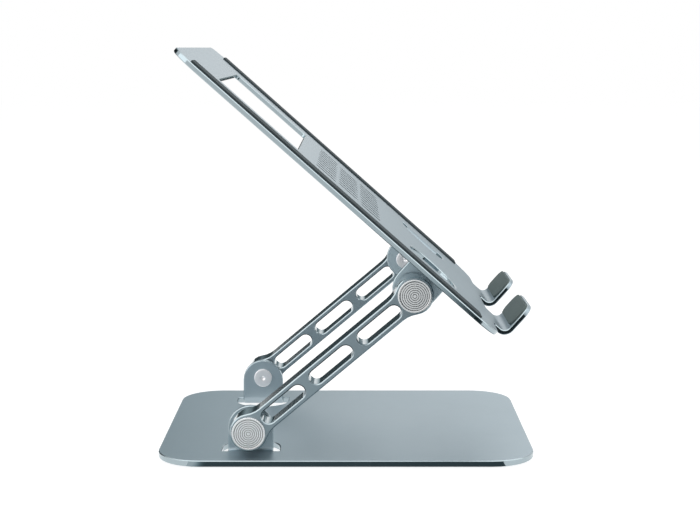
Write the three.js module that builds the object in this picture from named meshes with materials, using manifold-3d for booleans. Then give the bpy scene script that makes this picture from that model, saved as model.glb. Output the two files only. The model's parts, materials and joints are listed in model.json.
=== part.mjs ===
// Folding laptop stand: a bent base plate, two slotted arms and a bent tray, joined by four
// friction hinges. Millimetres, +Z up, +X towards the user, Y along the hinge pins. The origin is
// on the table, under the middle of the base plate, and the stand is built in its working pose.
import * as THREE from 'three';
import { mergeVertices } from 'three/addons/utils/BufferGeometryUtils.js';
import Module from 'manifold-3d';

// Working pose, in degrees
const armElevation = 40.1;
const traySlope = 41.6;

// Sheet metal
const edgeChamfer = 0.5;
const bendRadius = 2;
const bendChords = 7;

// Base plate
const baseLength = 240;
const baseWidth = 194.6;
const baseThickness = 4;
const baseCornerRadius = 28.5;
const baseHoleHalfWidth = 18.5;
const baseHoleReach = 28;
const lowerPinBack = 60.8;
const lowerPinHeight = 16.2;

// Hinge lugs bent out of the base plate and the tray
const lugWidth = 28.8;
const lugReach = 12.75;
const lugOuterFace = 72;

// Tray plate, measured from the upper hinge axis along and across its slope
const trayWidth = 250;
const trayThickness = 3;
const trayDrop = 16;
const trayBack = 207.3;
const trayFront = 50.5;
const trayBackRadius = 18;
const trayFrontRadius = 20;
const trayHoleHalfWidth = 18.95;
const trayHoleReach = 33.5;

// Opening at the back of the tray
const windowBack = 177.6;
const windowFront = 112.7;
const windowWidth = 156;
const windowRadius = 3;

// Cooling slots, running down the slope, in rows across the tray with every other row offset
const ventBack = 98.4;
const ventRows = 3;
const ventRowPitch = 18.6;
const ventPitch = 15.4;
const ventLength = 16.6;
const ventWidth = 4.4;
const ventFieldWidth = 150;

// Front hooks
const hookWidth = 53;
const hookInnerSide = 26;
const hookFace = 60;
const hookHeight = 25.5;
const hookRadius = 9;
const hookBendRadius = 4;
const hookRootRadius = 2;

// Soft strips on the tray and pads on the hooks
const stripWidth = 25;
const stripSideMargin = 2;
const stripBackMargin = 12.7;
const stripFrontMargin = 16.1;
const stripThickness = 0.6;
const stripRadius = 1.5;
const padThickness = 1;
const padMargin = 1.2;
const padRadius = 6;
const softChamfer = 0.2;

// Arms
const armLength = 135;
const armThickness = 17.5;
const armHalfWidth = 7.6;
const armChamfer = 0.7;
const armBossRadius = 12;
const armFilletRadius = 17;
const slotLength = 33;
const slotWidth = 9.2;
const slotPitch = 39;
const slotCount = 3;

// Friction hinges
const shankRadius = 4;
const threadRadius = 3;
const pinHeadRadius = 6.5;
const pinHeadThickness = 1.7;
const pinDimpleRadius = 1.6;
const pinDimpleDepth = 0.8;
const runningGap = 0.3;
const washerRadius = 10;
const washerThickness = 2.2;
const counterboreRadius = 8.6;
const counterboreDepth = 9;
const springRadius = 7.4;
const springThickness = 0.8;
const springRise = 0.5;
const nutAcrossFlats = 10;
const nutHeight = 4;
const nutCollarRadius = 4.6;
const nutCollarHeight = 1.2;
const threadBeyondNut = 0.6;
const capRadius = 10.5;
const capThickness = 2.3;
const capRim = 1.2;
const capDish = 0.6;
const capSpigotWall = 1;
const capSpigotDepth = 2.2;

// Feet
const footRadius = 8;
const footPocketDepth = 1.2;
const footStand = 1;
const footInset = 24;

// Facets: the largest distance between a round edge and its chords, and the grid that every corner
// is set on, which is exact in 32-bit numbers, so faces that are meant to be flush are flush
const chordError = 0.12;
const grid = 1 / 1024;

// Places that follow from the sizes
const baseTop = footStand + baseThickness;
const lowerPinHigh = baseTop + lowerPinHeight;
const elevation = THREE.MathUtils.degToRad(armElevation);
const slope = THREE.MathUtils.degToRad(traySlope);
const trayTop = trayDrop + trayThickness;
const armInner = lugOuterFace + washerThickness;
const armOuter = armInner + armThickness;
const bendLine = lugOuterFace + bendRadius;
const boreRadius = shankRadius + runningGap;

const wasm = await Module();
wasm.setup();

// ---- Solids and outlines ----

// A closed geometry as a solid that can be joined and cut.
function solid(geometry) {
  const bare = geometry.clone();
  bare.deleteAttribute('normal');
  bare.deleteAttribute('uv');
  const places = bare.attributes.position.array.map((value) => Math.round(value / grid) * grid);
  bare.setAttribute('position', new THREE.BufferAttribute(places, 3));
  const merged = mergeVertices(bare, grid / 2);
  const corners = merged.index.array;
  const faces = [];
  for (let i = 0; i < corners.length; i += 3) {
    const [a, b, c] = [corners[i], corners[i + 1], corners[i + 2]];
    if (a !== b && b !== c && c !== a) faces.push(a, b, c);
  }
  return new wasm.Manifold(new wasm.Mesh({
    numProp: 3,
    vertProperties: new Float32Array(merged.attributes.position.array),
    triVerts: new Uint32Array(faces),
  }));
}

// A solid as a geometry again.
function geometryOf(body) {
  const mesh = body.getMesh();
  const geometry = new THREE.BufferGeometry();
  geometry.setAttribute('position', new THREE.BufferAttribute(new Float32Array(mesh.vertProperties), 3));
  geometry.setIndex(new THREE.BufferAttribute(new Uint32Array(mesh.triVerts), 1));
  geometry.computeVertexNormals();
  return geometry;
}

// The number of chords that a round stretch needs.
function chords(radius, turn) {
  const step = 2 * Math.acos(1 - Math.min(chordError / radius, 0.5));
  return Math.max(1, Math.ceil(Math.abs(turn) / step - 1e-6));
}

// The points of an arc, from one angle to another.
function arc(x, y, radius, from, to) {
  const curve = new THREE.EllipseCurve(x, y, radius, radius, from, to, to < from);
  return curve.getPoints(chords(radius, to - from));
}

// A shape through the points, leaving out any that repeat.
function shapeOf(points) {
  const kept = points.filter((point, i) => {
    const before = points[(i + points.length - 1) % points.length];
    return point.distanceTo(before) > 1e-3;
  });
  return new THREE.Shape(kept);
}

// A polygon whose corners [x, y, radius] are rounded.
function rounded(corners) {
  const points = [];
  corners.forEach(([x, y, radius = 0], i) => {
    const corner = new THREE.Vector2(x, y);
    if (radius === 0) {
      points.push(corner);
      return;
    }
    const [px, py] = corners[(i + corners.length - 1) % corners.length];
    const [nx, ny] = corners[(i + 1) % corners.length];
    const back = new THREE.Vector2(px, py).sub(corner).normalize();
    const onward = new THREE.Vector2(nx, ny).sub(corner).normalize();
    const half = Math.acos(THREE.MathUtils.clamp(back.dot(onward), -1, 1)) / 2;
    const middle = back.clone().add(onward).normalize();
    const centre = corner.clone().addScaledVector(middle, radius / Math.sin(half));
    const start = corner.clone().addScaledVector(back, radius / Math.tan(half)).sub(centre);
    const side = back.cross(onward) < 0 ? 1 : -1;
    const from = start.angle();
    points.push(...arc(centre.x, centre.y, radius, from, from + side * (Math.PI - 2 * half)));
  });
  return shapeOf(points);
}

// A rectangle between two corners, all four rounded alike.
function roundedRect(x0, y0, x1, y1, radius) {
  return rounded([[x0, y0, radius], [x1, y0, radius], [x1, y1, radius], [x0, y1, radius]]);
}

// A flat piece from bottom to top, with its edges and its holes chamfered.
function slabGeometry(shape, bottom, top, chamfer) {
  const geometry = new THREE.ExtrudeGeometry(shape, {
    depth: top - bottom - 2 * chamfer,
    bevelEnabled: chamfer > 0,
    bevelThickness: chamfer,
    bevelSize: chamfer,
    bevelOffset: -chamfer,
    bevelSegments: 1,
  });
  return geometry.translate(0, 0, bottom + chamfer);
}

function slab(shape, bottom, top, chamfer = 0) {
  return solid(slabGeometry(shape, bottom, top, chamfer));
}

// The same, standing on edge: the shape's x and y become X and Z, and the thickness lies along Y.
function uprightSlab(shape, near, far, chamfer = 0) {
  return solid(slabGeometry(shape, -far, -near, chamfer).rotateX(Math.PI / 2));
}

function box(x0, x1, y0, y1, z0, z1) {
  const geometry = new THREE.BoxGeometry(x1 - x0, y1 - y0, z1 - z0);
  return solid(geometry.translate((x0 + x1) / 2, (y0 + y1) / 2, (z0 + z1) / 2));
}

// A turned piece about the Y axis, with so many chords to a quarter turn. Its profile runs
// anticlockwise as [radius, y] pairs.
function turnedGeometry(profile, quarterChords) {
  const points = profile.map(([r, y]) => new THREE.Vector2(r, y));
  if (profile[0][0] > 0) points.push(points[0].clone());
  return new THREE.LatheGeometry(points, 4 * quarterChords);
}

// The same, beside the mid-plane: side is +1 on the right and -1 on the left, where it is mirrored.
function turned(profile, radius, side = 1) {
  const geometry = turnedGeometry(profile, chords(radius, Math.PI / 2));
  return solid(side > 0 ? geometry : geometry.rotateX(Math.PI));
}

// A straight round cutter along Y, between two distances from the mid-plane.
function drill(radius, x, z, near, far, side) {
  const geometry = new THREE.CylinderGeometry(radius, radius, far - near, 4 * chords(radius, Math.PI / 2));
  return solid(geometry.translate(x, side * (near + far) / 2, z));
}

// ---- Bent sheet ----

// A flange in its own frame: x along the bend, y from the bend line towards the free edge of the
// flat sheet, z from the sheet's far side towards the flange. The sheet is 0 to thickness in z, and
// the bend's radius is measured inside it.
function flange(width, thickness, height, endRadius, inner) {
  const half = width / 2;
  const outer = inner + thickness;
  const c = edgeChamfer;
  const section = [
    [outer, c - half], [outer, half - c], [outer - c, half], [inner + c, half],
    [inner, half - c], [inner, c - half], [inner + c, -half], [outer - c, -half],
  ];
  const ring = solid(turnedGeometry(section, bendChords).rotateZ(-Math.PI / 2).translate(0, 0, outer));
  const bend = ring.intersect(box(-width, width, 0, 2 * outer, -outer, outer));
  const outline = rounded([
    [-half, thickness], [half, thickness], [half, height, endRadius], [-half, height, endRadius],
  ]);
  const wall = uprightSlab(outline, inner, outer, c);
  const upright = wall.intersect(box(-width, width, 0, 2 * outer, outer, 2 * height));
  const root = slab(roundedRect(-half, -4 * c, half, 0, 0), 0, thickness);
  const sides = [-1, 1].map((side) => rootChamfers(side * half, thickness));
  return geometryOf(root.subtract(sides[0]).subtract(sides[1]).add(bend).add(upright));
}

// The chamfers along one side of a flange's root, as a cutter.
function rootChamfers(edge, thickness) {
  const c = edgeChamfer;
  const cut = (z, towards) => {
    const wedge = new THREE.Shape([
      new THREE.Vector2(edge - Math.sign(edge) * c, z),
      new THREE.Vector2(edge, z + towards * c),
      new THREE.Vector2(edge + Math.sign(edge), z + towards * c),
      new THREE.Vector2(edge + Math.sign(edge), z - towards),
      new THREE.Vector2(edge - Math.sign(edge) * c, z - towards),
    ]);
    return uprightSlab(wedge, -8 * c, c);
  };
  return cut(thickness, -1).add(cut(0, 1));
}

// Sets a flange against a plate: where its bend line lies, and which ways its y and z point.
function setFlange(geometry, position, y, z) {
  const x = new THREE.Vector3().crossVectors(y, z);
  const place = new THREE.Matrix4().makeBasis(x, y, z).setPosition(position);
  return solid(geometry.clone().applyMatrix4(place));
}

// The hole that a lug leaves: straight at the bend line, round at its far end.
function lugHole(centre, halfWidth, reach, side) {
  const near = side * bendLine;
  const far = side * (bendLine - reach);
  return rounded([
    [centre - halfWidth, near], [centre + halfWidth, near],
    [centre + halfWidth, far, halfWidth], [centre - halfWidth, far, halfWidth],
  ]);
}

// ---- Base ----

function basePlate() {
  const x = baseLength / 2;
  const y = baseWidth / 2;
  const shape = roundedRect(-x, -y, x, y, baseCornerRadius);
  shape.holes = [-1, 1].map((side) => lugHole(-lowerPinBack, baseHoleHalfWidth, baseHoleReach, side));
  let plate = slab(shape, footStand, baseTop, edgeChamfer);
  const lugHeight = lowerPinHigh + lugReach - footStand;
  const lug = flange(lugWidth, baseThickness, lugHeight, lugWidth / 2, bendRadius);
  for (const side of [-1, 1]) {
    const bend = new THREE.Vector3(-lowerPinBack, side * bendLine, footStand);
    const inward = new THREE.Vector3(0, -side, 0);
    plate = plate.add(setFlange(lug, bend, inward, new THREE.Vector3(0, 0, 1)));
    plate = plate.subtract(drill(boreRadius, -lowerPinBack, lowerPinHigh, 0, lugOuterFace + 1, side));
  }
  for (const [footX, footY] of footPlaces()) {
    const pocket = new THREE.CylinderGeometry(
      footRadius + runningGap, footRadius + runningGap, 2 * footPocketDepth, 4 * chords(footRadius, Math.PI / 2),
    );
    plate = plate.subtract(solid(pocket.rotateX(Math.PI / 2).translate(footX, footY, footStand)));
  }
  return plate;
}

// The middles of the four feet, back left first.
function footPlaces() {
  const x = baseLength / 2 - footInset;
  const y = baseWidth / 2 - footInset;
  return [[-x, -y], [-x, y], [x, -y], [x, y]];
}

// A low rubber button with a rounded lower rim.
function foot() {
  const top = footStand + footPocketDepth;
  const soft = footStand / 2;
  return turned([[0, 0], [footRadius - soft, 0], [footRadius, soft], [footRadius, top], [0, top]], footRadius);
}

// ---- Tray, in its own frame: x down the slope from the hinge axis, z square to the plate ----

function trayOutline() {
  const side = trayWidth / 2;
  const outer = hookInnerSide + hookWidth;
  const half = [
    [trayFront, hookInnerSide, hookRootRadius],
    [hookFace, hookInnerSide],
    [hookFace, outer],
    [trayFront, outer, hookRootRadius],
    [trayFront, side, trayFrontRadius],
    [-trayBack, side, trayBackRadius],
  ];
  const mirrored = half.map(([x, y, radius]) => [x, -y, radius]).reverse();
  return rounded([...half, ...mirrored]);
}

function ventField() {
  const slots = [];
  const wide = ventWidth / 2;
  for (let row = 0; row < ventRows; row += 1) {
    const back = row * ventRowPitch - ventBack;
    const count = Math.floor((ventFieldWidth - ventWidth) / ventPitch) + (row % 2 === 0 ? 1 : 0);
    for (let i = 0; i < count; i += 1) {
      const y = (i - (count - 1) / 2) * ventPitch;
      slots.push(roundedRect(back, y - wide, back + ventLength, y + wide, wide));
    }
  }
  return slab(slots, trayDrop - 1, trayTop + 1);
}

function trayPlate() {
  const shape = trayOutline();
  shape.holes = [-1, 1].map((side) => lugHole(0, trayHoleHalfWidth, trayHoleReach, side));
  shape.holes.push(
    roundedRect(-windowBack, -windowWidth / 2, -windowFront, windowWidth / 2, windowRadius),
  );
  let plate = slab(shape, trayDrop, trayTop, edgeChamfer);
  const hookBend = hookFace - hookBendRadius;
  plate = plate.subtract(box(hookBend, 2 * hookFace, -trayWidth, trayWidth, 0, 2 * trayTop));
  const up = new THREE.Vector3(0, 0, 1);
  const down = new THREE.Vector3(0, 0, -1);
  const lug = flange(lugWidth, trayThickness, trayTop + lugReach, lugWidth / 2, bendRadius);
  const hook = flange(hookWidth, trayThickness, hookHeight, hookRadius, hookBendRadius);
  for (const side of [-1, 1]) {
    const lugBend = new THREE.Vector3(0, side * bendLine, trayTop);
    plate = plate.add(setFlange(lug, lugBend, new THREE.Vector3(0, -side, 0), down));
    plate = plate.subtract(drill(boreRadius, 0, 0, 0, lugOuterFace + 1, side));
    const hookRoot = new THREE.Vector3(hookBend, side * (hookInnerSide + hookWidth / 2), trayDrop);
    plate = plate.add(setFlange(hook, hookRoot, new THREE.Vector3(1, 0, 0), up));
  }
  return plate.subtract(ventField());
}

// A soft strip along one side of the tray.
function trayStrip(side) {
  const outer = trayWidth / 2 - stripSideMargin;
  const shape = roundedRect(
    stripBackMargin - trayBack, outer - stripWidth, trayFront - stripFrontMargin, outer, stripRadius,
  );
  const bottom = trayTop + runningGap;
  const strip = slabGeometry(shape, bottom, bottom + stripThickness, softChamfer);
  return solid(side > 0 ? strip : strip.translate(0, stripWidth - 2 * outer, 0));
}

// A soft pad on a hook's inner face.
function hookPad(side) {
  const half = hookWidth / 2 - padMargin;
  const bottom = trayTop + hookBendRadius + padMargin;
  const top = trayDrop + hookHeight - padMargin;
  const shape = roundedRect(-half, bottom, half, top, padRadius);
  const back = hookFace - runningGap;
  const pad = slabGeometry(shape, back - padThickness, back, softChamfer);
  const axes = new THREE.Matrix4().makeBasis(
    new THREE.Vector3(0, 1, 0), new THREE.Vector3(0, 0, 1), new THREE.Vector3(1, 0, 0),
  );
  return solid(pad.applyMatrix4(axes).translate(0, side * (hookInnerSide + hookWidth / 2), 0));
}

// ---- Arms, in their own frame: x from the lower pin to the upper one ----

function armOutline() {
  const rise = armHalfWidth + armFilletRadius;
  const reach = armBossRadius + armFilletRadius;
  const run = Math.sqrt(reach * reach - rise * rise);
  const lean = Math.atan2(rise, run);
  const quarter = Math.PI / 2;
  const end = armLength - run;
  return shapeOf([
    ...arc(0, 0, armBossRadius, lean, 2 * Math.PI - lean),
    ...arc(run, -rise, armFilletRadius, Math.PI - lean, quarter),
    ...arc(end, -rise, armFilletRadius, quarter, lean),
    ...arc(armLength, 0, armBossRadius, lean - Math.PI, Math.PI - lean),
    ...arc(end, rise, armFilletRadius, -lean, -quarter),
    ...arc(run, rise, armFilletRadius, -quarter, lean - Math.PI),
  ]);
}

function arm(side) {
  const shape = armOutline();
  for (let i = 0; i < slotCount; i += 1) {
    const middle = armLength / 2 + (i - (slotCount - 1) / 2) * slotPitch;
    const end = slotLength / 2;
    shape.holes.push(roundedRect(middle - end, -slotWidth / 2, middle + end, slotWidth / 2, slotWidth / 2));
  }
  const near = side > 0 ? armInner : -armOuter;
  let bar = uprightSlab(shape, near, near + armThickness, armChamfer);
  for (const x of [0, armLength]) {
    bar = bar.subtract(drill(boreRadius, x, 0, armInner - 1, armOuter + 1, side));
    bar = bar.subtract(drill(counterboreRadius, x, 0, armOuter - counterboreDepth, armOuter + 1, side));
  }
  return bar;
}

// ---- Hinge hardware, on the hinge axis, spaced out from the mid-plane ----

const springSeat = armOuter - counterboreDepth;
const nutSeat = springSeat + springThickness + springRise;
const pinEnd = nutSeat + nutHeight + nutCollarHeight + threadBeyondNut;

// A shouldered pin: its head bears on the lug, and its thread ends inside the arm.
function hingePin(side, lugThickness) {
  const seat = lugOuterFace - lugThickness;
  const face = seat - pinHeadThickness;
  const lead = pinHeadThickness / 3;
  return turned([
    [0, face + pinDimpleDepth], [pinDimpleRadius, face], [pinHeadRadius - lead, face],
    [pinHeadRadius, face + lead], [pinHeadRadius, seat], [shankRadius, seat],
    [shankRadius, nutSeat - runningGap], [threadRadius, nutSeat - runningGap],
    [threadRadius, pinEnd], [0, pinEnd],
  ], pinHeadRadius, side);
}

function frictionWasher(side) {
  return turned([
    [boreRadius, lugOuterFace], [washerRadius, lugOuterFace], [washerRadius, armInner], [boreRadius, armInner],
  ], washerRadius, side);
}

// A coned spring washer: its rim bears on the arm, and its crown on the nut.
function discSpring(side) {
  return turned([
    [boreRadius, springSeat + springRise], [springRadius, springSeat],
    [springRadius, springSeat + springThickness], [boreRadius, nutSeat],
  ], springRadius, side);
}

// A hexagonal nut with the round collar of its locking ring.
function lockNut(side) {
  const corner = nutAcrossFlats / Math.sqrt(3);
  const hexagon = new THREE.CylinderGeometry(corner, corner, nutHeight, 6);
  const body = solid(hexagon.translate(0, side * (nutSeat + nutHeight / 2), 0));
  const collar = drill(nutCollarRadius, 0, 0, nutSeat + nutHeight / 2, nutSeat + nutHeight + nutCollarHeight, side);
  return body.add(collar).subtract(drill(threadRadius + runningGap, 0, 0, nutSeat - 1, pinEnd + 1, side));
}

// A dished cover with a raised rim, located by a spigot in the arm's counterbore.
function hingeCap(side) {
  const spigot = counterboreRadius - runningGap;
  const face = armOuter + capThickness;
  const lead = capRim / 3;
  return turned([
    [0, armOuter], [spigot - capSpigotWall, armOuter], [spigot - capSpigotWall, armOuter - capSpigotDepth],
    [spigot, armOuter - capSpigotDepth], [spigot, armOuter], [capRadius, armOuter],
    [capRadius, face - lead], [capRadius - lead, face], [capRadius - capRim, face],
    [capRadius - capRim - capDish, face - capDish], [0, face - capDish],
  ], capRadius, side);
}

// ---- Materials ----

const finish = (color, roughness, metalness) => (
  new THREE.MeshStandardMaterial({ color, roughness, metalness, flatShading: true })
);
const anodised = finish(0x93a2a9, 0.42, 0.9);
const bright = finish(0xc4c9cc, 0.28, 1);
const springSteel = finish(0x8a8d90, 0.35, 1);
const nylon = finish(0x3a4145, 0.6, 0);
const silicone = finish(0x50585b, 0.8, 0);

// ---- Assembly ----

function piece(name, body, material) {
  const mesh = new THREE.Mesh(geometryOf(body), material.clone());
  mesh.name = name;
  return mesh;
}

// The loose parts of one hinge, in the order they go together.
function hinge(name, side, lugThickness) {
  return [
    piece(`${name}_hinge_pin`, hingePin(side, lugThickness), bright),
    piece(`${name}_friction_washer`, frictionWasher(side), nylon),
    piece(`${name}_disc_spring`, discSpring(side), springSteel),
    piece(`${name}_lock_nut`, lockNut(side), springSteel),
  ];
}

const group = new THREE.Group();
const arms = new THREE.Group();
const tray = new THREE.Group();
const lowerPins = new THREE.Group();
lowerPins.position.set(-lowerPinBack, 0, lowerPinHigh);
arms.position.copy(lowerPins.position);
arms.rotation.y = -elevation;
tray.position.set(
  armLength * Math.cos(elevation) - lowerPinBack, 0, armLength * Math.sin(elevation) + lowerPinHigh,
);
tray.rotation.y = slope;
group.add(arms, tray, lowerPins);

group.add(piece('base_plate', basePlate(), anodised));
footPlaces().forEach(([x, y]) => {
  const name = `${x < 0 ? 'back' : 'front'}_${y < 0 ? 'left' : 'right'}_foot`;
  const mesh = piece(name, solid(geometryOf(foot()).rotateX(Math.PI / 2)), silicone);
  mesh.position.set(x, y, 0);
  group.add(mesh);
});
tray.add(piece('tray_plate', trayPlate(), anodised));
for (const [hand, side] of [['left', -1], ['right', 1]]) {
  tray.add(piece(`${hand}_tray_strip`, trayStrip(side), silicone));
  tray.add(piece(`${hand}_hook_pad`, hookPad(side), silicone));
  arms.add(piece(`${hand}_arm`, arm(side), anodised));
  lowerPins.add(...hinge(`lower_${hand}`, side, baseThickness));
  tray.add(...hinge(`upper_${hand}`, side, trayThickness));
  for (const [level, x] of [['lower', 0], ['upper', armLength]]) {
    const cap = piece(`${level}_${hand}_hinge_cap`, hingeCap(side), bright);
    cap.position.x = x;
    arms.add(cap);
  }
}

export default group;
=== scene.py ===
import json
import math

import bmesh
import bpy
from mathutils import Matrix, Vector


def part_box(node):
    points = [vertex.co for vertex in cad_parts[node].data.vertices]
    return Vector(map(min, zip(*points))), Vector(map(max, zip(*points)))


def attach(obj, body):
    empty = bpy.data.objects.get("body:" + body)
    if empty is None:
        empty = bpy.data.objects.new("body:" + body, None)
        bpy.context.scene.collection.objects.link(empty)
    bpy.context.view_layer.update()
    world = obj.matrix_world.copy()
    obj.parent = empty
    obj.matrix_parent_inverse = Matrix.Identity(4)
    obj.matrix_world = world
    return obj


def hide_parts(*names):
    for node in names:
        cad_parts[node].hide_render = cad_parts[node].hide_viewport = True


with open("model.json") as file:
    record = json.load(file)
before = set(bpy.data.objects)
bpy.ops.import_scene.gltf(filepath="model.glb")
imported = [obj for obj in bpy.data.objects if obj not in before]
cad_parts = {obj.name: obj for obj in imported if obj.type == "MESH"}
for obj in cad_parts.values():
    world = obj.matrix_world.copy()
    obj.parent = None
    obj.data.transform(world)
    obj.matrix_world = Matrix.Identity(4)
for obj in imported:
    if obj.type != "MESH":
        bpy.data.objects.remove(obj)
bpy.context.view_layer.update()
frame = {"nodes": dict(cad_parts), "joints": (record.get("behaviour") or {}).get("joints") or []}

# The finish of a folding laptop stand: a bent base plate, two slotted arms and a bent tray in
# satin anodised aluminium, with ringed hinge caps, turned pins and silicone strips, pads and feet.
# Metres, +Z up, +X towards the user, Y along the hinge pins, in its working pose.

MM = 0.001

# Sheet metal and bar
SHEET_CHAMFER = 0.5 * MM
ARM_CHAMFER = 0.7 * MM
EDGE_SOFTENING = 0.1 * MM
TRAY_SHEET = 3 * MM
BASE_TOP = 5 * MM
BEND_CLEARANCE = 0.2 * MM
MERGE_DISTANCE = 0.002 * MM
FLAT_ANGLE = math.radians(0.5)
METAL_CREASE = math.radians(38)
CHAMFER_ANGLE = math.radians(45)
CHAMFER_TOLERANCE = math.radians(6)
WIDEST_CHAMFER = 1.8

# Which way a face looks, as the cosine of its angle to a direction
SQUARE_ON = 0.9
MOSTLY_ON = 0.6
EDGE_ON = 0.2

# A plate's finishes, in the order of its materials
FLAT_FACE, EDGE_WALL, CUT_CHAMFER, LUG_SIDE = range(4)

# The tray's place on its hinge
TRAY_SLOPE = math.radians(41.6)
TRAY_DROP = 16 * MM

# Hinge hardware
CAP_THICKNESS = 2.3 * MM
CAP_RIM = 1.3 * MM
CAP_DISH = 0.25 * MM
CAP_RINGS = 7
CAP_GROOVE_WIDTH = 0.42 * MM
CAP_GROOVE_DEPTH = 0.35 * MM
CAP_RIM_ROUNDING = 0.25 * MM
CAP_CREASE = math.radians(30)
LAND, GROOVE_WALL = range(2)
PIN_DIMPLE_DEPTH = 0.8 * MM
PIN_DIMPLE_CURVE = ((0.8 * MM, 0.48 * MM), (1.44 * MM, 0), (1.92 * MM, 0))
PIN_HEAD_THICKNESS = 1.7 * MM
PIN_HEAD_ROUNDING = 0.45 * MM
PIN_SHANK_RADIUS = 4 * MM
PIN_THREAD_RADIUS = 3 * MM
PIN_THREAD_LENGTH = 8 * MM
WASHER_BORE = 4.3 * MM
WASHER_ROUNDING = 0.3 * MM
TURNING_STEPS = 96
TURNING_MERGE = 0.001 * MM
ROUND_CREASE = math.radians(50)

# Soft pieces
STRIP_SEAT = TRAY_DROP + TRAY_SHEET
STRIP_THICKNESS = 1.2 * MM
STRIP_WIDTH = 19 * MM
STRIP_ROUNDING = 0.12 * MM
STRIP_CORNER = 1.5 * MM
PAD_CORNER = 6 * MM
PAD_ROUNDING = 0.3 * MM
SEATING_GAP = 0.3 * MM
SLAB_CORNER_STEPS = 10
SLAB_RIM_STEPS = 4
TOUCHING = 0.01 * MM
FOOT_GROOVES = 3
FOOT_GROOVE_WIDTH = 0.7 * MM
FOOT_GROOVE_DEPTH = 0.25 * MM
FOOT_ROUNDING = 0.5 * MM

# Finishes
NOISE_MEAN = 0.5
FINE_RUBS = 9
GRAIN_DEPTH = 0.1 * MM

# A Mix node's own sockets: its factor, and what it mixes and gives, as numbers or as colours
MIX_FACTOR = 0
MIX_NUMBERS = (2, 3)
MIX_COLOURS = (6, 7)
MIXED_NUMBER = 0
MIXED_COLOUR = 2

# Studio: how much of the white surroundings lights the stand, and the view
WHITE = (1, 1, 1, 1)
AMBIENT = 0.4
FLOOR_ALBEDO = 0.42
FLOOR_REACH = 6
STAND_MIDDLE = Vector((0, 0, 0.12))
CAMERA_PLACE = (0.00257, -1.0040, 0.2594)
CAMERA_TILT = math.radians(81.86)
CAMERA_LENS = 77.143
CAMERA_SENSOR = 36
CAMERA_REACH = 100
SOFTBOXES = {
    "left_softbox": ((-1.3, -0.5, 0.8), (1.2, 1.2)),
    "right_softbox": ((1.3, -0.3, 0.8), (1.2, 1.2)),
    "top_softbox": ((0, -0.2, 1.5), (2.2, 1.6)),
}

# Painted reflections: glowing cards that only the metal mirrors, shaded dark and light to paint its
# reflections. A run is where it starts, where it ends, and its level at either.
PAINTED_REFLECTION_TINT = (0.62, 0.91, 1, 1)
FLOOR_CARD_HEIGHT = 0.0006
FLOOR_CARD = ((0.1, -0.095), (-0.1, -0.095), (-0.13, -0.16), (-1.6, -3.2), (1.6, -3.2), (1.6, -0.75),
              (0.27, -0.5), (0.13, -0.16))
# Painted shade: the floor card is darkest at the stand's foot, where the metal mirrors it.
FLOOR_FOOT_RUN = (-0.122, -0.135, 0.11, 0.74)
FLOOR_MIDDLE_RUN = (-0.8, -1.1, 0, 0.2)
FLOOR_FAR_RUN = (-1.6, -3.2, 0, 0.06)
FLOOR_RIGHT_RUN = (-0.12, -0.5, 0.10, 0.03)
FLOOR_TURN_RUN = (0.118, 0.175, 0, 1)
FLOOR_END_RUNS = ((-0.088, -0.1, 0, 1), (0.084, 0.1, 0, 1))
FLOOR_END_DEPTH_RUN = (-0.14, -0.12, 0, 1)
FLOOR_END_LEVEL = 0.8
FAR_CARD_DISTANCE = 1.6
FAR_CARD = ((-2.6, 0.001), (1.4, 0.001), (1.4, 2.2), (-2.6, 2.2))
FAR_LOW_RUN = (-0.05, 0.08, 0.07, 0.26)
FAR_HIGH_RUN = (-0.45, 0.1, 0.39, 1.15)
FAR_HEIGHT_RUN = (0.22, 0.34, 0, 1)
FAR_CORNER_RUNS = ((-0.42, -0.52, 0, 1), (0.4, 0.48, 0, 1))
FAR_CORNER_LEVEL = 0.02
FAR_LEFT_RUN = (-2.3, -2.6, 0, 1)
FAR_TOP_RUN = (1.9, 2.2, 0, 1)
FAR_RIGHT_RUN = (0.7, 1.3, 0, 1)
RIGHT_CARD_DISTANCE = -1.5
RIGHT_CARD = ((0.2, 0.001), (1.5, 0.001), (1.5, 0.75), (0.2, 0.75))
RIGHT_HEIGHT_RUN = (0.5, 0.75, 0.03, 1)
RIGHT_SIDE_RUNS = ((0.35, 0.22, 0, 1), (1.2, 1.5, 0, 1))


def hinge_axis(joint_name):
    """A point on a joint's axis, on the mid-plane."""
    joint = next(joint for joint in frame["joints"] if joint["name"] == joint_name)
    return Vector(joint["pos_m"])


LOWER_AXIS = hinge_axis("arm_lift")
UPPER_AXIS = hinge_axis("tray_tilt")
TRAY_PLACE = Matrix.Translation(UPPER_AXIS) @ Matrix.Rotation(TRAY_SLOPE, 4, "Y")


# ---- Node helpers ----

def put(tree, kind, inputs=None, **settings):
    """A node with its settings and its unlinked inputs; an input given as a socket is linked."""
    node = tree.nodes.new(kind)
    for name, value in settings.items():
        setattr(node, name, value)
    for name, value in (inputs or {}).items():
        if isinstance(value, bpy.types.NodeSocket):
            tree.links.new(value, node.inputs[name])
        else:
            node.inputs[name].default_value = value
    return node


def group_tree(name, inputs, outputs):
    """An empty node group with its sockets, and its input and output nodes."""
    tree = bpy.data.node_groups.new(name, "ShaderNodeTree")
    kinds = {"value": "NodeSocketFloat", "colour": "NodeSocketColor", "vector": "NodeSocketVector"}
    for socket, kind in inputs.items():
        tree.interface.new_socket(socket, in_out="INPUT", socket_type=kinds[kind])
    for socket, kind in outputs.items():
        tree.interface.new_socket(socket, in_out="OUTPUT", socket_type=kinds[kind])
    return tree, tree.nodes.new("NodeGroupInput"), tree.nodes.new("NodeGroupOutput")


def object_noise(tree, scale, detail, roughness=0.5):
    """Noise in object coordinates."""
    place = put(tree, "ShaderNodeTexCoord")
    inputs = {"Vector": place.outputs["Object"], "Scale": scale, "Detail": detail, "Roughness": roughness}
    return put(tree, "ShaderNodeTexNoise", inputs)


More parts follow.
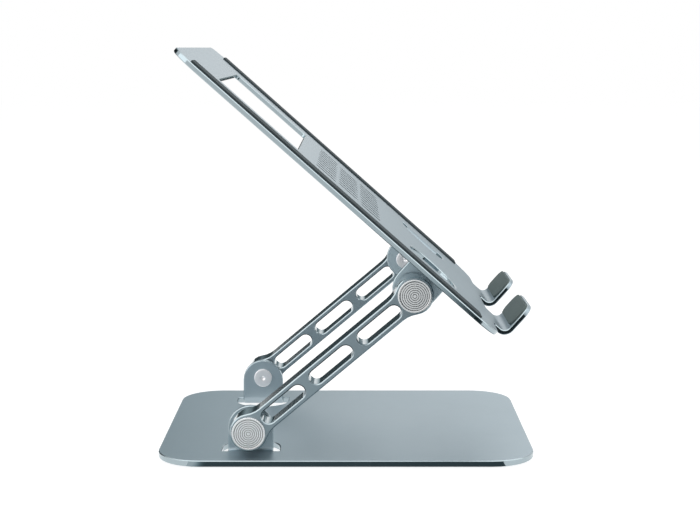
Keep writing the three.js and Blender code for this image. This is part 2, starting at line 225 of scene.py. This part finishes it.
def maths(tree, operation, first, second):
    """The result of an operation on two numbers or sockets."""
    return put(tree, "ShaderNodeMath", {0: first, 1: second}, operation=operation).outputs[0]


# ---- Shared effects ----

def uneven_tone():
    """A colour that drifts slightly lighter and darker over a piece."""
    sockets = {"Colour": "colour", "Spread": "value", "Scale": "value"}
    tree, inputs, outputs = group_tree("uneven tone", sockets, {"Colour": "colour"})
    noise = object_noise(tree, inputs.outputs["Scale"], 3)
    centred = maths(tree, "SUBTRACT", noise.outputs["Fac"], NOISE_MEAN)
    drift = maths(tree, "MULTIPLY", centred, inputs.outputs["Spread"])
    level = maths(tree, "ADD", drift, 1)
    tinted = put(tree, "ShaderNodeVectorMath", {0: inputs.outputs["Colour"]}, operation="SCALE")
    tree.links.new(level, tinted.inputs["Scale"])
    tree.links.new(tinted.outputs[0], outputs.inputs["Colour"])
    return tree


def handled_gloss():
    """A roughness with the faint smudges and rub marks of handling."""
    sockets = {"Roughness": "value", "Spread": "value", "Scale": "value"}
    tree, inputs, outputs = group_tree("handled gloss", sockets, {"Roughness": "value"})
    broad = object_noise(tree, inputs.outputs["Scale"], 2)
    fine_scale = maths(tree, "MULTIPLY", inputs.outputs["Scale"], FINE_RUBS)
    fine = object_noise(tree, fine_scale, 4, 0.65)
    both = maths(tree, "MULTIPLY", broad.outputs["Fac"], fine.outputs["Fac"])
    centred = maths(tree, "SUBTRACT", both, NOISE_MEAN ** 2)
    drift = maths(tree, "MULTIPLY", centred, inputs.outputs["Spread"])
    level = maths(tree, "ADD", drift, inputs.outputs["Roughness"])
    tree.links.new(level, outputs.inputs["Roughness"])
    return tree


def blasted_grain():
    """The fine, even pitting of a bead-blasted or moulded surface, as a normal."""
    sockets = {"Scale": "value", "Strength": "value"}
    tree, inputs, outputs = group_tree("blasted grain", sockets, {"Normal": "vector"})
    pits = object_noise(tree, inputs.outputs["Scale"], 3, 0.7)
    relief = {"Strength": inputs.outputs["Strength"], "Height": pits.outputs["Fac"], "Distance": GRAIN_DEPTH}
    bump = put(tree, "ShaderNodeBump", relief)
    tree.links.new(bump.outputs["Normal"], outputs.inputs["Normal"])
    return tree


TONE = uneven_tone()
GLOSS = handled_gloss()
GRAIN = blasted_grain()


def use_group(tree, group, inputs):
    """A shared effect placed in a material, with its own values."""
    return put(tree, "ShaderNodeGroup", inputs, node_tree=group).outputs[0]


# ---- Materials ----

def surface(name, colour, metallic, roughness, tone, gloss, grain, shine=0.5):
    """A material with its own drift of tone, drift of gloss and grain, each as how much and how fine."""
    material = bpy.data.materials.new(name)
    material.use_nodes = True
    tree = material.node_tree
    shader = tree.nodes["Principled BSDF"]
    shader.inputs["Metallic"].default_value = metallic
    shader.inputs["Specular IOR Level"].default_value = shine
    shade = use_group(tree, TONE, {"Colour": (*colour, 1), "Spread": tone[0], "Scale": tone[1]})
    level = use_group(tree, GLOSS, {"Roughness": roughness, "Spread": gloss[0], "Scale": gloss[1]})
    normal = use_group(tree, GRAIN, {"Strength": grain[0], "Scale": grain[1]})
    tree.links.new(shade, shader.inputs["Base Color"])
    tree.links.new(level, shader.inputs["Roughness"])
    tree.links.new(normal, shader.inputs["Normal"])
    return material


def anodised_sheet():
    """Bead-blasted sheet, anodised a cool blue grey."""
    return surface(
        "anodised_sheet", (0.4, 0.484, 0.53), metallic=0.8, roughness=0.38,
        tone=(0.10, 9), gloss=(0.10, 14), grain=(0.25, 1900),
    )


def anodised_tray():
    """The tray's plate, a shade darker than the base sheet."""
    return surface(
        "anodised_tray", (0.32, 0.39, 0.43), metallic=0.8, roughness=0.38,
        tone=(0.10, 9), gloss=(0.10, 14), grain=(0.25, 1900),
    )


def lug_painted_lighter():
    """The sides of the tray's lugs, painted a little paler than the plate: painted light on their sides."""
    return surface(
        "lug_painted_lighter", (0.53, 0.635, 0.685), metallic=0.8, roughness=0.4,
        tone=(0.10, 12), gloss=(0.10, 18), grain=(0.25, 1900),
    )


def anodised_wall():
    """The edge left by the punch and mill, smoother than the blasted faces."""
    return surface(
        "anodised_wall", (0.37, 0.44, 0.47), metallic=1, roughness=0.1,
        tone=(0.08, 12), gloss=(0.04, 20), grain=(0.004, 2600),
    )


def anodised_bar():
    """The arms' milled and blasted faces."""
    return surface(
        "anodised_bar", (0.293, 0.363, 0.4), metallic=0.88, roughness=0.36,
        tone=(0.10, 14), gloss=(0.10, 20), grain=(0.22, 2100),
    )


def cut_chamfer():
    """A chamfer cut bright after blasting."""
    return surface(
        "cut_chamfer", (0.37, 0.435, 0.46), metallic=1, roughness=0.24,
        tone=(0.05, 30), gloss=(0.06, 40), grain=(0.05, 3000),
    )


def turned_silver():
    """Bare turned metal, for the hinge caps."""
    return surface(
        "turned_silver", (0.96, 0.95, 0.95), metallic=1, roughness=0.26,
        tone=(0.06, 60), gloss=(0.08, 60), grain=(0.08, 3000),
    )


def groove_painted_shade():
    """The same metal down in the fine turned grooves, rougher where polish doesn't reach, and painted darker
    as shade in the grooves.
    """
    return surface(
        "groove_painted_shade", (0.4, 0.4, 0.405), metallic=1, roughness=0.4,
        tone=(0.06, 60), gloss=(0.08, 60), grain=(0.08, 3000),
    )


def pin_silver():
    """The pins' fine-blasted heads."""
    return surface(
        "pin_silver", (0.94, 0.92, 0.93), metallic=1, roughness=0.36,
        tone=(0.08, 80), gloss=(0.10, 60), grain=(0.3, 2600),
    )


def oiled_steel():
    """The springs and nuts inside the arms."""
    return surface(
        "oiled_steel", (0.34, 0.34, 0.33), metallic=1, roughness=0.3,
        tone=(0.25, 90), gloss=(0.2, 70), grain=(0.15, 2000),
    )


def washer_nylon():
    """Dark nylon, for the friction washers."""
    return surface(
        "washer_nylon", (0.045, 0.055, 0.062), metallic=0, roughness=0.5,
        tone=(0.2, 60), gloss=(0.15, 60), grain=(0.3, 1800),
    )


def strip_silicone():
    """Matt silicone with a fine moulded grain."""
    return surface(
        "strip_silicone", (0.066, 0.083, 0.09), metallic=0, roughness=0.8,
        tone=(0.22, 25), gloss=(0.1, 30), grain=(0.5, 1400), shine=0.1,
    )


def pad_silicone():
    """The hooks' pads, a little paler than the strips."""
    return surface(
        "pad_silicone", (0.125, 0.158, 0.154), metallic=0, roughness=0.7,
        tone=(0.2, 30), gloss=(0.1, 30), grain=(0.4, 1400), shine=0.2,
    )


def foot_rubber():
    """Black rubber, for the feet."""
    return surface(
        "foot_rubber", (0.05, 0.055, 0.058), metallic=0, roughness=0.7,
        tone=(0.3, 60), gloss=(0.2, 60), grain=(0.6, 1500),
    )


SHEET = anodised_sheet()
TRAY_METAL = anodised_tray()
# A paler copy of the tray's metal for the lug sides: painted light.
LUG = lug_painted_lighter()
WALL = anodised_wall()
BAR = anodised_bar()
CHAMFER = cut_chamfer()
SILVER = turned_silver()
GROOVE = groove_painted_shade()
PIN = pin_silver()
STEEL = oiled_steel()
NYLON = washer_nylon()
SILICONE = strip_silicone()
PAD_SILICONE = pad_silicone()
RUBBER = foot_rubber()


# ---- Pieces ----

def add_piece(name, shape, materials, body, nodes, smooth_angle):
    """A finished mesh as a piece that moves with a body and stands for CAD nodes."""
    mesh = bpy.data.meshes.new(name)
    shape.to_mesh(mesh)
    shape.free()
    for material in materials:
        mesh.materials.append(material)
    mesh.shade_smooth()
    mesh.set_sharp_from_angle(angle=smooth_angle)
    piece = bpy.data.objects.new(name, mesh)
    bpy.context.scene.collection.objects.link(piece)
    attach(piece, body)
    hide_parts(*nodes)
    return piece


def is_chamfer(face, chamfer):
    """Whether a face is a strip of the chamfer: it meets both its neighbours at 45 degrees."""
    angles = [(edge.calc_face_angle(0), edge.calc_length()) for edge in face.edges]
    along = [angle for angle, length in angles if abs(angle - CHAMFER_ANGLE) < CHAMFER_TOLERANCE]
    across = [length for angle, length in angles if angle < METAL_CREASE]
    return len(along) >= 2 and max(across, default=1) < WIDEST_CHAMFER * chamfer


def arm_finish(centre, normal):
    """An arm's faces that run through its thickness are all edge walls."""
    return EDGE_WALL


def base_finish(centre, normal):
    """The base's lugs have the plate's finish on their sides; the rest is edge walls."""
    on_lug = centre.z > BASE_TOP + BEND_CLEARANCE and abs(normal.y) > MOSTLY_ON
    return FLAT_FACE if on_lug else EDGE_WALL


def tray_finish(centre, normal):
    """The tray's lugs' sides take the paler material with painted light, and its hooks the plate's finish;
    the rest is edge walls.
    """
    height = (TRAY_PLACE.inverted() @ centre).z
    down_the_tray = TRAY_PLACE.to_3x3() @ Vector((1, 0, 0))
    if height < TRAY_DROP - BEND_CLEARANCE and abs(normal.y) > MOSTLY_ON:
        return LUG_SIDE
    if height > STRIP_SEAT + BEND_CLEARANCE and abs(normal.dot(down_the_tray)) > SQUARE_ON:
        return FLAT_FACE
    return EDGE_WALL


def metal_piece(node, name, body, finishes, through, chamfer, finish_of):
    """A CAD node's own shape, merged, with its chamfers and its edge walls finished apart."""
    shape = bmesh.new()
    shape.from_mesh(frame["nodes"][node].data)
    bmesh.ops.remove_doubles(shape, verts=shape.verts, dist=MERGE_DISTANCE)
    bmesh.ops.dissolve_limit(shape, angle_limit=FLAT_ANGLE, verts=shape.verts, edges=shape.edges)
    for face in shape.faces:
        if is_chamfer(face, chamfer):
            face.material_index = CUT_CHAMFER
        elif abs(face.normal.dot(through)) < EDGE_ON:
            face.material_index = finish_of(face.calc_center_median(), face.normal)
    piece = add_piece(name, shape, finishes, body, [node], METAL_CREASE)
    soften_edges(piece)
    return piece


def soften_edges(piece):
    """Takes the last sharpness off the edges, and keeps flat faces flat."""
    bevel = piece.modifiers.new("softened edges", "BEVEL")
    bevel.width = EDGE_SOFTENING
    bevel.segments = 2
    bevel.limit_method = "ANGLE"
    bevel.angle_limit = METAL_CREASE
    normals = piece.modifiers.new("flat faces", "WEIGHTED_NORMAL")
    normals.keep_sharp = True


def turned(profile, axis, closed=False):
    """A shape turned about a hinge axis, from [distance from the axis, place along it] pairs."""
    shape = bmesh.new()
    corners = [shape.verts.new((radius, along, 0)) for radius, along in profile]
    ends = corners[1:] + corners[:1] if closed else corners[1:]
    edges = [shape.edges.new(pair) for pair in zip(corners, ends)]
    bmesh.ops.spin(
        shape, geom=corners + edges, cent=(0, 0, 0), axis=(0, 1, 0),
        angle=2 * math.pi, steps=TURNING_STEPS, use_merge=True,
    )
    bmesh.ops.remove_doubles(shape, verts=shape.verts, dist=TURNING_MERGE)
    bmesh.ops.translate(shape, verts=shape.verts, vec=axis)
    bmesh.ops.recalc_face_normals(shape, faces=shape.faces)
    return shape


def round_corner(start, corner, end, steps=4):
    """The points of a rounded corner, from start to end."""
    points = []
    for step in range(steps + 1):
        t = step / steps
        weights = ((1 - t) ** 2, 2 * t * (1 - t), t ** 2)
        point = tuple(sum(w * p[i] for w, p in zip(weights, (start, corner, end))) for i in (0, 1))
        points.append(point)
    return points


def along_axis(node):
    """How far a node reaches along the hinge axis: its nearer and farther end, and its side."""
    low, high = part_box(node)
    side = 1 if low.y > 0 else -1
    ends = sorted((abs(low.y), abs(high.y)))
    return ends[0], ends[1], side


def radius_of(node):
    """Half of a round node's height."""
    low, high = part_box(node)
    return (high.z - low.z) / 2


def ring_profile(radius, front):
    """A flat front from the centre out, cut by evenly spaced fine grooves, the last at its edge."""
    half = CAP_GROOVE_WIDTH / 2
    pitch = (radius - half) / CAP_RINGS
    profile = [(0, front)]
    for ring in range(1, CAP_RINGS + 1):
        middle = pitch * ring
        profile += [(middle - half, front), (middle, front - CAP_GROOVE_DEPTH), (middle + half, front)]
    return profile


def hinge_cap(level, hand, axis):
    """A dished cap with a rounded rim and fine turned rings."""
    node = f"{level}_{hand}_hinge_cap"
    _, front, side = along_axis(node)
    outer = radius_of(node)
    dish = outer - CAP_RIM
    seat = front - CAP_THICKNESS
    soft = CAP_RIM_ROUNDING
    profile = [
        *ring_profile(dish, front - CAP_DISH),
        *round_corner((dish, front - soft), (dish, front), (dish + soft, front)),
        *round_corner((outer - soft, front), (outer, front), (outer, front - soft)),
        (outer, seat), (0, seat),
    ]
    shape = turned([(radius, side * along) for radius, along in profile], axis)
    # The groove walls take the darker material, as painted shade in the grooves.
    for face in shape.faces:
        middle = face.calc_center_median() - axis
        if Vector((middle.x, middle.z)).length < dish and abs(face.normal.y) < SQUARE_ON:
            face.material_index = GROOVE_WALL
        else:
            face.material_index = LAND
    name = node.replace("hinge_cap", "ringed_cap")
    add_piece(name, shape, [SILVER, GROOVE], "arms", [node], CAP_CREASE)


def hinge_pin(level, hand, axis, body):
    """A shouldered pin with a softly rounded head and a centre dimple."""
    node = f"{level}_{hand}_hinge_pin"
    front, end, side = along_axis(node)
    head = radius_of(node)
    seat = front + PIN_HEAD_THICKNESS
    soft = PIN_HEAD_ROUNDING
    dimple = [(radius, front + depth) for radius, depth in PIN_DIMPLE_CURVE]
    profile = [
        (0, front + PIN_DIMPLE_DEPTH),
        *round_corner(*dimple),
        *round_corner((head - soft, front), (head, front), (head, front + soft)),
        (head, seat), (PIN_SHANK_RADIUS, seat), (PIN_SHANK_RADIUS, end - PIN_THREAD_LENGTH),
        (PIN_THREAD_RADIUS, end - PIN_THREAD_LENGTH), (PIN_THREAD_RADIUS, end), (0, end),
    ]
    shape = turned([(radius, side * along) for radius, along in profile], axis)
    name = node.replace("hinge_pin", "turned_pin")
    add_piece(name, shape, [PIN], body, [node], ROUND_CREASE)


def friction_washer(level, hand, axis, body):
    """A plain nylon ring with rounded rims."""
    node = f"{level}_{hand}_friction_washer"
    near, far, side = along_axis(node)
    outer = radius_of(node)
    soft = WASHER_ROUNDING
    profile = [
        (WASHER_BORE, near),
        *round_corner((outer - soft, near), (outer, near), (outer, near + soft)),
        *round_corner((outer, far - soft), (outer, far), (outer - soft, far)),
        (WASHER_BORE, far),
    ]
    shape = turned([(radius, side * along) for radius, along in profile], axis, closed=True)
    name = node.replace("friction", "nylon")
    add_piece(name, shape, [NYLON], body, [node], ROUND_CREASE)


def soft_slab(low, high, corner, rounding):
    """A flat moulded slab between two corners, with a rounded outline and a softly rounded rim."""
    shape = bmesh.new()
    bmesh.ops.create_cube(shape, size=1)
    bmesh.ops.scale(shape, verts=shape.verts, vec=high - low)
    bmesh.ops.translate(shape, verts=shape.verts, vec=(low + high) / 2)
    upright = [edge for edge in shape.edges if abs(edge.verts[0].co.z - edge.verts[1].co.z) > TOUCHING]
    bmesh.ops.bevel(
        shape, geom=upright, offset=corner, segments=SLAB_CORNER_STEPS, profile=0.5,
        affect="EDGES", material=-1,
    )
    rim = [edge for edge in shape.edges if min(vert.co.z for vert in edge.verts) > high.z - TOUCHING]
    bmesh.ops.bevel(
        shape, geom=rim, offset=rounding, segments=SLAB_RIM_STEPS, profile=0.5,
        affect="EDGES", material=-1,
    )
    return shape


def tray_box(node):
    """A tray node's box in the tray's own frame, where z is square to the plate."""
    into_tray = TRAY_PLACE.inverted()
    corners = [into_tray @ vert.co for vert in frame["nodes"][node].data.vertices]
    low = Vector([min(corner[i] for corner in corners) for i in range(3)])
    high = Vector([max(corner[i] for corner in corners) for i in range(3)])
    return low, high


def tray_strip(hand):
    """A silicone strip, seated on the tray."""
    node = f"{hand}_tray_strip"
    low, high = tray_box(node)
    low.z = STRIP_SEAT
    high.z = STRIP_SEAT + STRIP_THICKNESS
    if hand == "left":
        high.y = low.y + STRIP_WIDTH
    else:
        low.y = high.y - STRIP_WIDTH
    shape = soft_slab(low, high, STRIP_CORNER, STRIP_ROUNDING)
    bmesh.ops.transform(shape, matrix=TRAY_PLACE, verts=shape.verts)
    add_piece(f"{hand}_silicone_strip", shape, [SILICONE], "tray", [node], ROUND_CREASE)


def hook_pad(hand):
    """A silicone pad on a hook's inner face."""
    node = f"{hand}_hook_pad"
    low, high = tray_box(node)
    back = high.x + SEATING_GAP
    flat_low = Vector((low.z, low.y, 0))
    flat_high = Vector((high.z, high.y, back - low.x))
    shape = soft_slab(flat_low, flat_high, PAD_CORNER, PAD_ROUNDING)
    lean = Matrix(((0, 0, -1, back), (0, 1, 0, 0), (1, 0, 0, 0), (0, 0, 0, 1)))
    bmesh.ops.transform(shape, matrix=TRAY_PLACE @ lean, verts=shape.verts)
    add_piece(f"{hand}_silicone_pad", shape, [PAD_SILICONE], "tray", [node], ROUND_CREASE)


def grooved_foot(place):
    """A rubber foot with fine grip rings underneath."""
    node = f"{place}_foot"
    low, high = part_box(node)
    centre = (low + high) / 2
    outer = (high.x - low.x) / 2
    flat = outer - FOOT_ROUNDING
    half = FOOT_GROOVE_WIDTH / 2
    profile = [(0, low.z)]
    for groove in range(FOOT_GROOVES):
        middle = flat * (groove + 1) / (FOOT_GROOVES + 1)
        profile += [
            (middle - half, low.z), (middle, low.z + FOOT_GROOVE_DEPTH), (middle + half, low.z),
        ]
    profile += round_corner((flat, low.z), (outer, low.z), (outer, low.z + FOOT_ROUNDING))
    profile += [(outer, high.z), (0, high.z)]
    shape = turned(profile, Vector((0, 0, 0)))
    bmesh.ops.rotate(shape, verts=shape.verts, cent=(0, 0, 0), matrix=Matrix.Rotation(math.pi / 2, 3, "X"))
    bmesh.ops.translate(shape, verts=shape.verts, vec=(centre.x, centre.y, 0))
    add_piece(f"{place}_rubber_foot", shape, [RUBBER], "base", [node], ROUND_CREASE)


def finish_hidden_metal():
    """The springs and nuts keep their own shapes."""
    for name, node in frame["nodes"].items():
        if name.endswith("disc_spring") or name.endswith("lock_nut"):
            node.data.materials.clear()
            node.data.materials.append(STEEL)


def build_stand():
    """Every piece of the stand, each on the body that it moves with."""
    up = Vector((0, 0, 1))
    square = TRAY_PLACE.to_3x3() @ up
    across = Vector((0, 1, 0))
    base_metals = [SHEET, WALL, CHAMFER]
    tray_metals = [TRAY_METAL, WALL, CHAMFER, LUG]
    arm_metals = [BAR, WALL, CHAMFER]
    metal_piece("base_plate", "base_sheet", "base", base_metals, up, SHEET_CHAMFER, base_finish)
    metal_piece("tray_plate", "tray_sheet", "tray", tray_metals, square, SHEET_CHAMFER, tray_finish)
    for hand in ("left", "right"):
        metal_piece(f"{hand}_arm", f"{hand}_arm_bar", "arms", arm_metals, across, ARM_CHAMFER, arm_finish)
        tray_strip(hand)
        hook_pad(hand)
        for level, axis, body in (("lower", LOWER_AXIS, "base"), ("upper", UPPER_AXIS, "upper_pins")):
            hinge_cap(level, hand, axis)
            hinge_pin(level, hand, axis, body)
            friction_washer(level, hand, axis, body)
        for end in ("back", "front"):
            grooved_foot(f"{end}_{hand}")
    finish_hidden_metal()


# ---- Studio ----

def shown_to(tree):
    """1 for what the camera sees straight, mirrored or through glass, and 0 for the rest."""
    path = put(tree, "ShaderNodeLightPath")
    seen = maths(tree, "ADD", path.outputs["Is Camera Ray"], path.outputs["Is Glossy Ray"])
    seen = maths(tree, "ADD", seen, path.outputs["Is Transmission Ray"])
    return maths(tree, "MINIMUM", seen, 1)


def white_world():
    """White to look at, and a soft grey as a light."""
    world = bpy.data.worlds.new("studio")
    bpy.context.scene.world = world
    world.use_nodes = True
    tree = world.node_tree
    background = tree.nodes["Background"]
    background.inputs["Color"].default_value = WHITE
    lift = maths(tree, "MULTIPLY", shown_to(tree), 1 - AMBIENT)
    level = maths(tree, "ADD", lift, AMBIENT)
    tree.links.new(level, background.inputs["Strength"])


def stage_mesh(name, shape, material):
    """A finished mesh as part of the studio."""
    mesh = bpy.data.meshes.new(name)
    shape.to_mesh(mesh)
    shape.free()
    mesh.materials.append(material)
    item = bpy.data.objects.new(name, mesh)
    bpy.context.scene.collection.objects.link(item)
    return item


def white_floor():
    """A pale floor that looks white and still takes the stand's shadow."""
    material = bpy.data.materials.new("pale_floor")
    material.use_nodes = True
    tree = material.node_tree
    tree.nodes.remove(tree.nodes["Principled BSDF"])
    matt = put(tree, "ShaderNodeBsdfDiffuse", {"Color": (*[FLOOR_ALBEDO] * 3, 1)})
    glow = put(tree, "ShaderNodeEmission", {"Color": WHITE})
    missing = 1 - FLOOR_ALBEDO * AMBIENT
    tree.links.new(maths(tree, "MULTIPLY", shown_to(tree), missing), glow.inputs["Strength"])
    both = put(tree, "ShaderNodeAddShader", {0: matt.outputs[0], 1: glow.outputs[0]})
    tree.links.new(both.outputs[0], tree.nodes["Material Output"].inputs["Surface"])
    shape = bmesh.new()
    bmesh.ops.create_grid(shape, x_segments=1, y_segments=1, size=FLOOR_REACH)
    stage_mesh("floor", shape, material)


def hide_but_from_metal(card):
    """A card that only mirrored rays meet, so it is in nobody's way and lights nothing."""
    card.visible_camera = False
    card.visible_diffuse = False
    card.visible_shadow = False
    card.visible_transmission = False


def card_material(name):
    """A painted reflection's glowing material: its tree, and the glow node that takes a level and a tint."""
    material = bpy.data.materials.new(name)
    material.use_nodes = True
    tree = material.node_tree
    tree.nodes.remove(tree.nodes["Principled BSDF"])
    glow = put(tree, "ShaderNodeEmission")
    tree.links.new(glow.outputs[0], tree.nodes["Material Output"].inputs["Surface"])
    return material, tree, glow


def position(tree):
    """The three coordinates of a point of the card."""
    place = put(tree, "ShaderNodeTexCoord")
    return put(tree, "ShaderNodeSeparateXYZ", {0: place.outputs["Object"]}).outputs


def fade(tree, value, start, end, low, high):
    """A level that goes smoothly from low to high while a value goes from start to end."""
    limits = {"Value": value, "From Min": start, "From Max": end, "To Min": low, "To Max": high}
    return put(tree, "ShaderNodeMapRange", limits, interpolation_type="SMOOTHSTEP").outputs[0]


def blend(tree, factor, first, second):
    """A value that goes from first to second as the factor goes from 0 to 1."""
    inputs = {MIX_FACTOR: factor, MIX_NUMBERS[0]: first, MIX_NUMBERS[1]: second}
    return put(tree, "ShaderNodeMix", inputs, data_type="FLOAT").outputs[MIXED_NUMBER]


def painted_reflection_card(name, corners, level_of):
    """A painted reflection: a card as bright as its own function says, tinted the more the darker it is."""
    material, tree, glow = card_material(name)
    level = level_of(tree, *position(tree))
    inputs = {MIX_FACTOR: level, MIX_COLOURS[0]: PAINTED_REFLECTION_TINT, MIX_COLOURS[1]: WHITE}
    tint = put(tree, "ShaderNodeMix", inputs, data_type="RGBA")
    tree.links.new(tint.outputs[MIXED_COLOUR], glow.inputs["Color"])
    tree.links.new(level, glow.inputs["Strength"])
    shape = bmesh.new()
    shape.faces.new([shape.verts.new(corner) for corner in corners])
    hide_but_from_metal(stage_mesh(name, shape, material))


def floor_level(tree, x, y, _):
    """Painted reflection: dark at the stand's foot, as painted shade on the floor there, and ahead on the
    right, and lighter with distance on the left.
    """
    foot = fade(tree, y, *FLOOR_FOOT_RUN)
    middle = fade(tree, y, *FLOOR_MIDDLE_RUN)
    far = fade(tree, y, *FLOOR_FAR_RUN)
    left = maths(tree, "ADD", maths(tree, "ADD", foot, middle), far)
    for run in FLOOR_END_RUNS:
        along = fade(tree, x, *run)
        near_end = maths(tree, "MULTIPLY", along, fade(tree, y, *FLOOR_END_DEPTH_RUN))
        left = blend(tree, near_end, left, FLOOR_END_LEVEL)
    right = fade(tree, y, *FLOOR_RIGHT_RUN)
    ahead = maths(tree, "MULTIPLY", y, -1)
    to_the_right = fade(tree, maths(tree, "DIVIDE", x, ahead), *FLOOR_TURN_RUN)
    return blend(tree, to_the_right, left, right)


def far_level(tree, x, _, z):
    """Painted reflection: dark low on the left and in a patch higher up, light high and on the right, white
    at its edges.
    """
    low = fade(tree, x, *FAR_LOW_RUN)
    high = fade(tree, x, *FAR_HIGH_RUN)
    level = blend(tree, fade(tree, z, *FAR_HEIGHT_RUN), low, high)
    beyond, above = FAR_CORNER_RUNS
    corner = maths(tree, "MULTIPLY", fade(tree, x, *beyond), fade(tree, z, *above))
    level = blend(tree, corner, level, FAR_CORNER_LEVEL)
    for value, run in ((x, FAR_LEFT_RUN), (z, FAR_TOP_RUN), (x, FAR_RIGHT_RUN)):
        level = blend(tree, fade(tree, value, *run), level, 1)
    return level


def right_level(tree, x, _, z):
    """Painted reflection: dark low down, white above and at the sides."""
    level = fade(tree, z, *RIGHT_HEIGHT_RUN)
    for run in RIGHT_SIDE_RUNS:
        level = blend(tree, fade(tree, x, *run), level, 1)
    return level


def painted_reflection_cards():
    """Painted reflections of the floor in front, the far side and the front right, for the stand's metal to
    mirror.
    """
    on_floor = [(x, y, FLOOR_CARD_HEIGHT) for x, y in FLOOR_CARD]
    painted_reflection_card("painted_floor_reflection", on_floor, floor_level)
    painted_reflection_card("painted_far_reflection", [(x, FAR_CARD_DISTANCE, z) for x, z in FAR_CARD], far_level)
    painted_reflection_card("painted_right_reflection", [(x, RIGHT_CARD_DISTANCE, z) for x, z in RIGHT_CARD], right_level)


def facing(place, target):
    """A frame at a place, its -Z towards a target."""
    turn = (target - place).to_track_quat("-Z", "Y")
    return Matrix.Translation(place) @ turn.to_matrix().to_4x4()


def softbox(name, place, size):
    """A soft rectangular lamp that points at the stand's middle, and would look plain white."""
    lamp = bpy.data.lights.new(name, "AREA")
    lamp.shape = "RECTANGLE"
    lamp.size, lamp.size_y = size
    lamp.energy = math.pi * size[0] * size[1]
    box = bpy.data.objects.new(name, lamp)
    box.matrix_world = facing(Vector(place), STAND_MIDDLE)
    box.visible_camera = False
    bpy.context.scene.collection.objects.link(box)


def camera():
    """A long lens, level with the tray and looking slightly down."""
    lens = bpy.data.cameras.new("camera")
    lens.lens = CAMERA_LENS
    lens.sensor_width = CAMERA_SENSOR
    lens.clip_end = CAMERA_REACH
    view = bpy.data.objects.new("camera", lens)
    view.location = CAMERA_PLACE
    view.rotation_euler = (CAMERA_TILT, 0, 0)
    bpy.context.scene.collection.objects.link(view)
    bpy.context.scene.camera = view


def studio():
    """Soft light from both sides and above, in white surroundings, with painted reflections for the metal.
    """
    white_world()
    white_floor()
    painted_reflection_cards()
    for name, (place, size) in SOFTBOXES.items():
        softbox(name, place, size)
    bpy.context.scene.view_settings.view_transform = "Standard"


camera()
build_stand()
studio()
